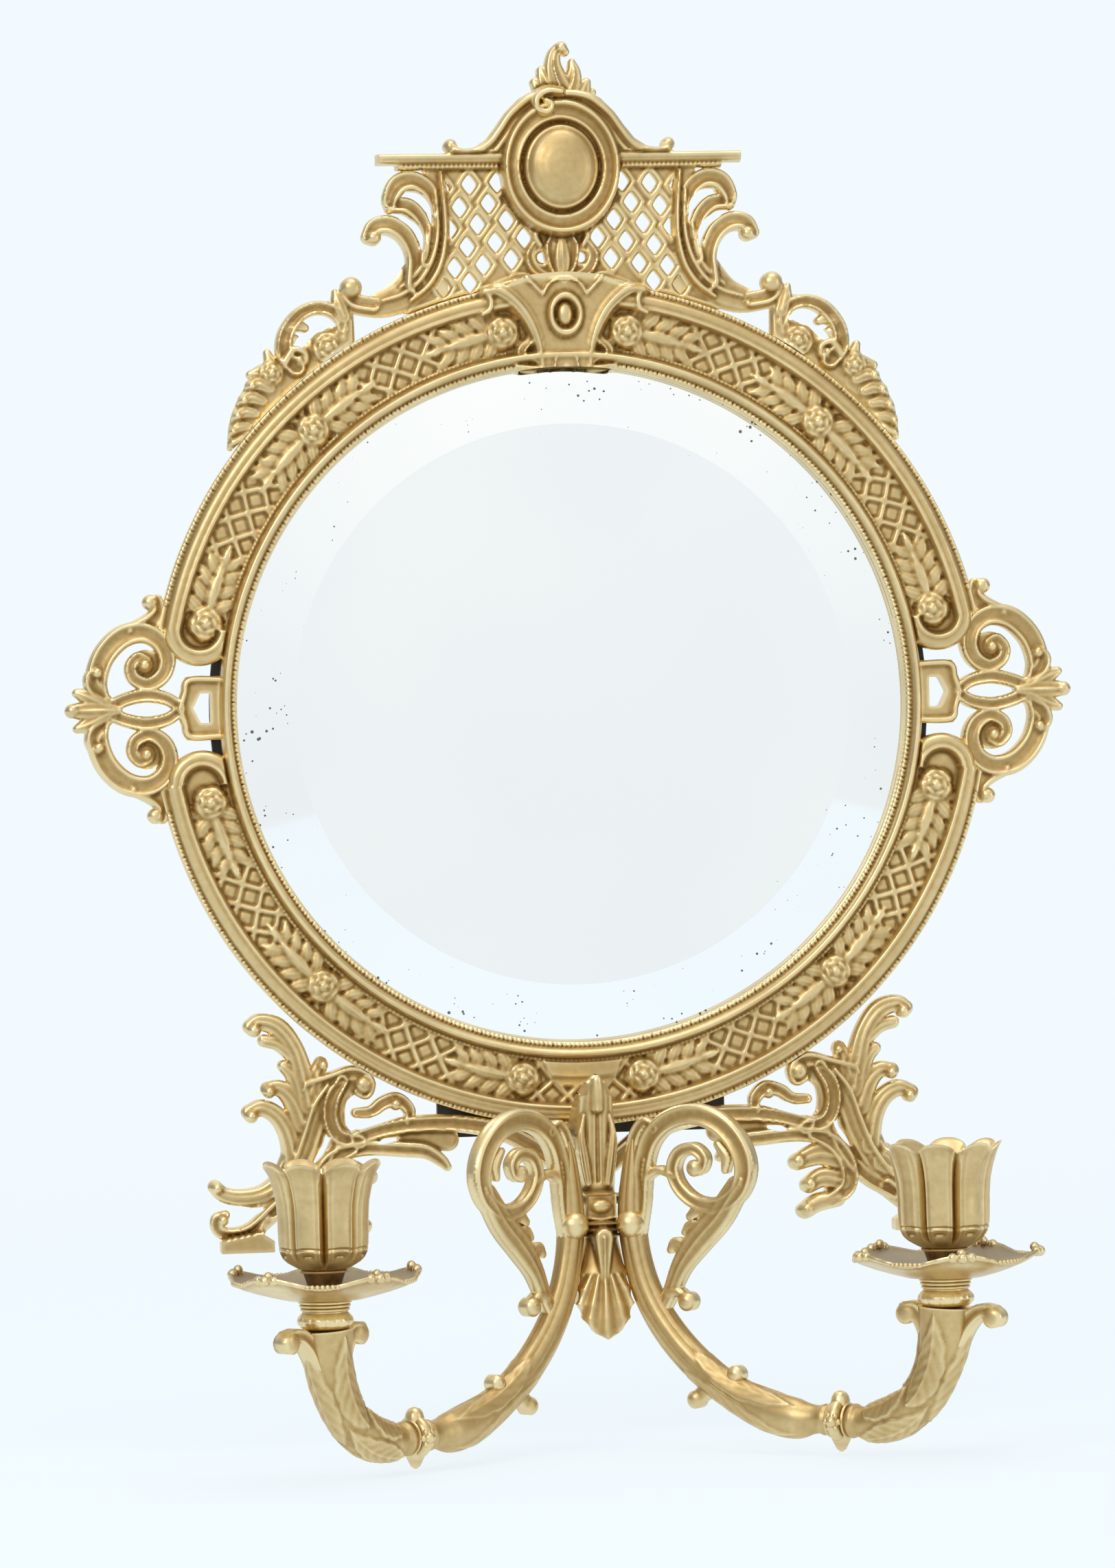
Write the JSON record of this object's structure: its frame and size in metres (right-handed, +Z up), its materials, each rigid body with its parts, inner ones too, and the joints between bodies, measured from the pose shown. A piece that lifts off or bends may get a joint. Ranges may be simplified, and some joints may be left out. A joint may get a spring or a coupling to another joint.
{
  "type": "girandole mirror",
  "caption": "Round bevelled wall mirror in a pierced cast brass frame with scroll crest and base, side ears, and scrolled candle arms with drip pans and petal candle cups.",
  "frame": {"origin": "centre of the hanging eye, on the face of its plate that lies against the wall", "axes": "+X to the viewer's right, +Z up, the viewer and the candle arms on the -Y side, the wall on the +Y side"},
  "size_m": [0.3566, 0.1608, 0.4887],
  "materials": {
    "gilt_brass": "aged gilding over cast brass, satin, brown in the recesses",
    "dark_brass": "brass darkened by age",
    "screw_steel": "dull steel",
    "black_iron": "black painted iron",
    "plain_brass": "plain rolled brass, dull",
    "mirror": "old silvered plate glass with a bevel and dark spots near its edge",
    "black_board": "thin board painted black"
  },
  "bodies": {
    "frame": {"arm_collars": "gilt_brass", "arm_cross_stud": "screw_steel", "arm_studs": "screw_steel", "backboard": "black_board", "base_apron": "gilt_brass", "candle_cup_left": "gilt_brass", "candle_cup_right": "gilt_brass", "crest": "gilt_brass", "crest_screws": "screw_steel", "cup_nuts": "screw_steel", "cup_stems": "dark_brass", "cup_studs": "screw_steel", "drip_pan_left": "gilt_brass", "drip_pan_right": "gilt_brass", "hanging_plate": "plain_brass", "hanging_rivets": "screw_steel", "inner_arm_left": "gilt_brass", "inner_arm_right": "gilt_brass", "mirror_glass": "mirror", "neck_collars": "gilt_brass", "outer_arm_left": "gilt_brass", "outer_arm_right": "gilt_brass", "pan_seats": "gilt_brass", "rear_strap": "black_iron", "ring_frame": "gilt_brass", "spine": "gilt_brass", "spine_bolts": "screw_steel", "strap_screws": "screw_steel", "turn_button_screws": "screw_steel"},
    "turn_button_upper_left": {"turn_button_upper_left": "plain_brass"},
    "turn_button_upper_right": {"turn_button_upper_right": "plain_brass"},
    "turn_button_lower_left": {"turn_button_lower_left": "plain_brass"},
    "turn_button_lower_right": {"turn_button_lower_right": "plain_brass"}
  },
  "joints": [
    {"name": "turn_button_upper_left_pivot", "type": "hinge", "parent": "frame", "child": "turn_button_upper_left", "pos_m": [-0.10895, -0.003, -0.11671], "axis": [0, 1, 0], "continuous": true},
    {"name": "turn_button_upper_right_pivot", "type": "hinge", "parent": "frame", "child": "turn_button_upper_right", "pos_m": [0.10895, -0.003, -0.11671], "axis": [0, 1, 0], "continuous": true},
    {"name": "turn_button_lower_left_pivot", "type": "hinge", "parent": "frame", "child": "turn_button_lower_left", "pos_m": [-0.10895, -0.003, -0.26929], "axis": [0, 1, 0], "continuous": true},
    {"name": "turn_button_lower_right_pivot", "type": "hinge", "parent": "frame", "child": "turn_button_lower_right", "pos_m": [0.10895, -0.003, -0.26929], "axis": [0, 1, 0], "continuous": true}
  ]
}
